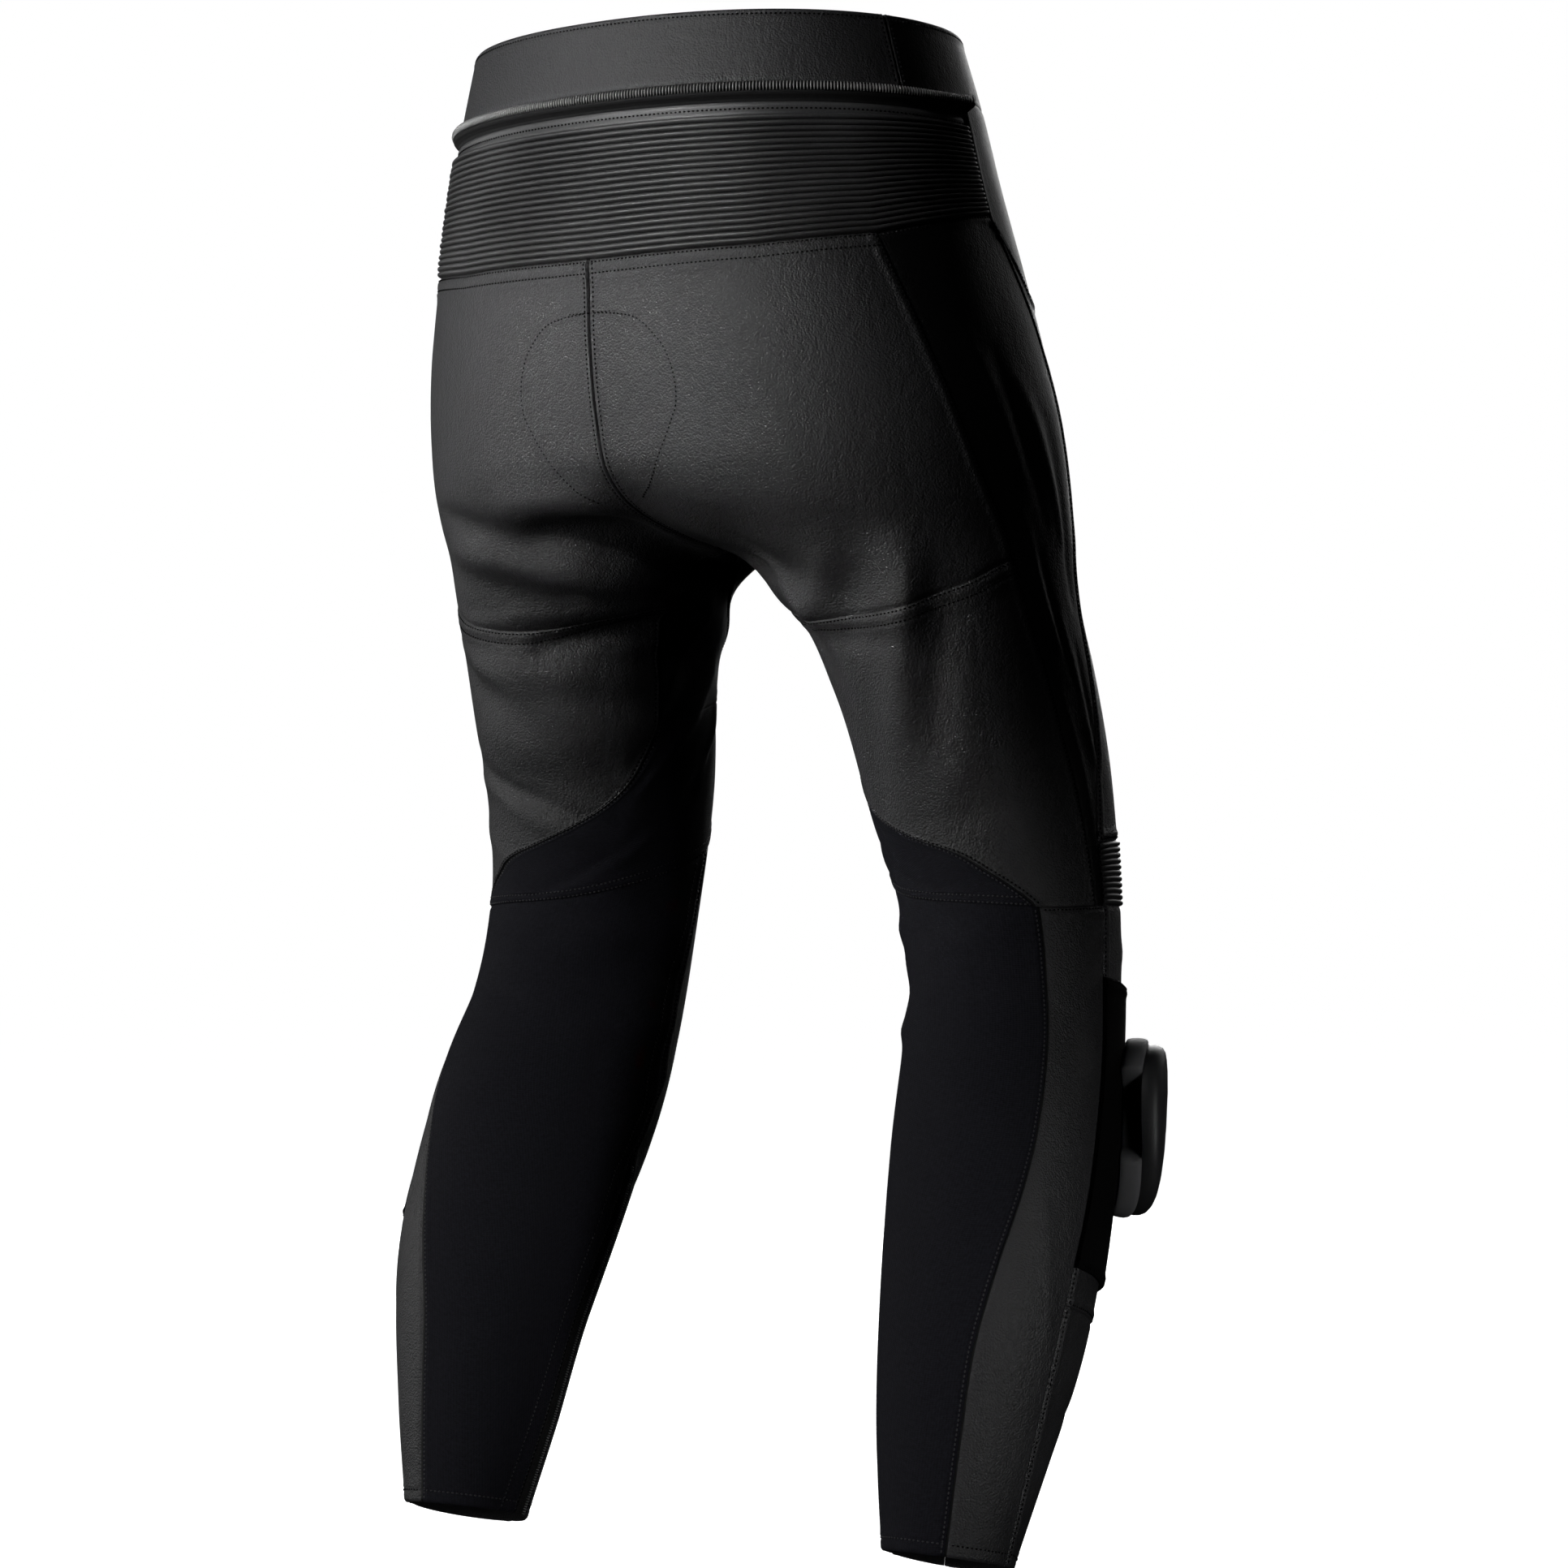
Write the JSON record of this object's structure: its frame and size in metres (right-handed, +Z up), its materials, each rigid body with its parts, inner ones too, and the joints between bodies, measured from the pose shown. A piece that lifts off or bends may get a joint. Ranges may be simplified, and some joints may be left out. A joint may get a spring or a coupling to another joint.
{
  "type": "motorcycle trousers",
  "caption": "Hollow leather motorcycle trousers in worn shape: ribbed stretch panel above the seat, stretch cloth behind the knees, knee sliders, zips at calf and waist.",
  "frame": {"origin": "middle of the waist opening, level with the top of the waistband, where the wearer's waist holds the trousers up", "axes": "+Z up, front of the trousers towards -Y, wearer's left towards +X"},
  "size_m": [0.5586, 0.3021, 0.9761],
  "materials": {
    "leather": "black full-grain leather, fine pebble grain, soft sheen",
    "side_leather": "deeper black leather of the side panels and the front of the waistband",
    "stretch_cloth": "matte bluish-black woven stretch cloth",
    "ribbed_leather": "black leather sewn into accordion ribs",
    "zip_tape": "black zip tape with a moulded coil",
    "loop_fabric": "very dark brushed loop fabric",
    "slider_plastic": "satin black moulded plastic with a greyer rim",
    "snap_metal": "black lacquered snap cap"
  },
  "bodies": {
    "root": {"waistband_back": "leather", "waistband_front_left": "side_leather", "waistband_front_right": "side_leather", "waist_snap": "snap_metal", "joining_zip": "zip_tape", "ribbed_back_panel": "ribbed_leather", "fly": "leather", "front_hip_left": "leather", "front_hip_right": "leather", "seat_left": "leather", "seat_right": "leather", "side_panel_left": "side_leather", "side_panel_right": "side_leather", "front_thigh_left": "leather", "front_thigh_right": "leather", "thigh_back_left": "leather", "thigh_back_right": "leather", "inner_thigh_left": "stretch_cloth", "inner_thigh_right": "stretch_cloth", "knee_back_left": "stretch_cloth", "knee_back_right": "stretch_cloth", "knee_ribs_left": "ribbed_leather", "knee_ribs_right": "ribbed_leather", "knee_panel_left": "leather", "knee_panel_right": "leather", "slider_pad_left": "loop_fabric", "slider_pad_right": "loop_fabric", "knee_slider_left": "slider_plastic", "knee_slider_right": "slider_plastic", "outer_calf_left": "leather", "outer_calf_right": "leather", "calf_stretch_left": "stretch_cloth", "calf_stretch_right": "stretch_cloth", "inner_shin_left": "leather", "inner_shin_right": "leather", "calf_zip_left": "zip_tape", "calf_zip_right": "zip_tape", "shin_front_left": "leather", "shin_front_right": "leather"}
  },
  "joints": []
}
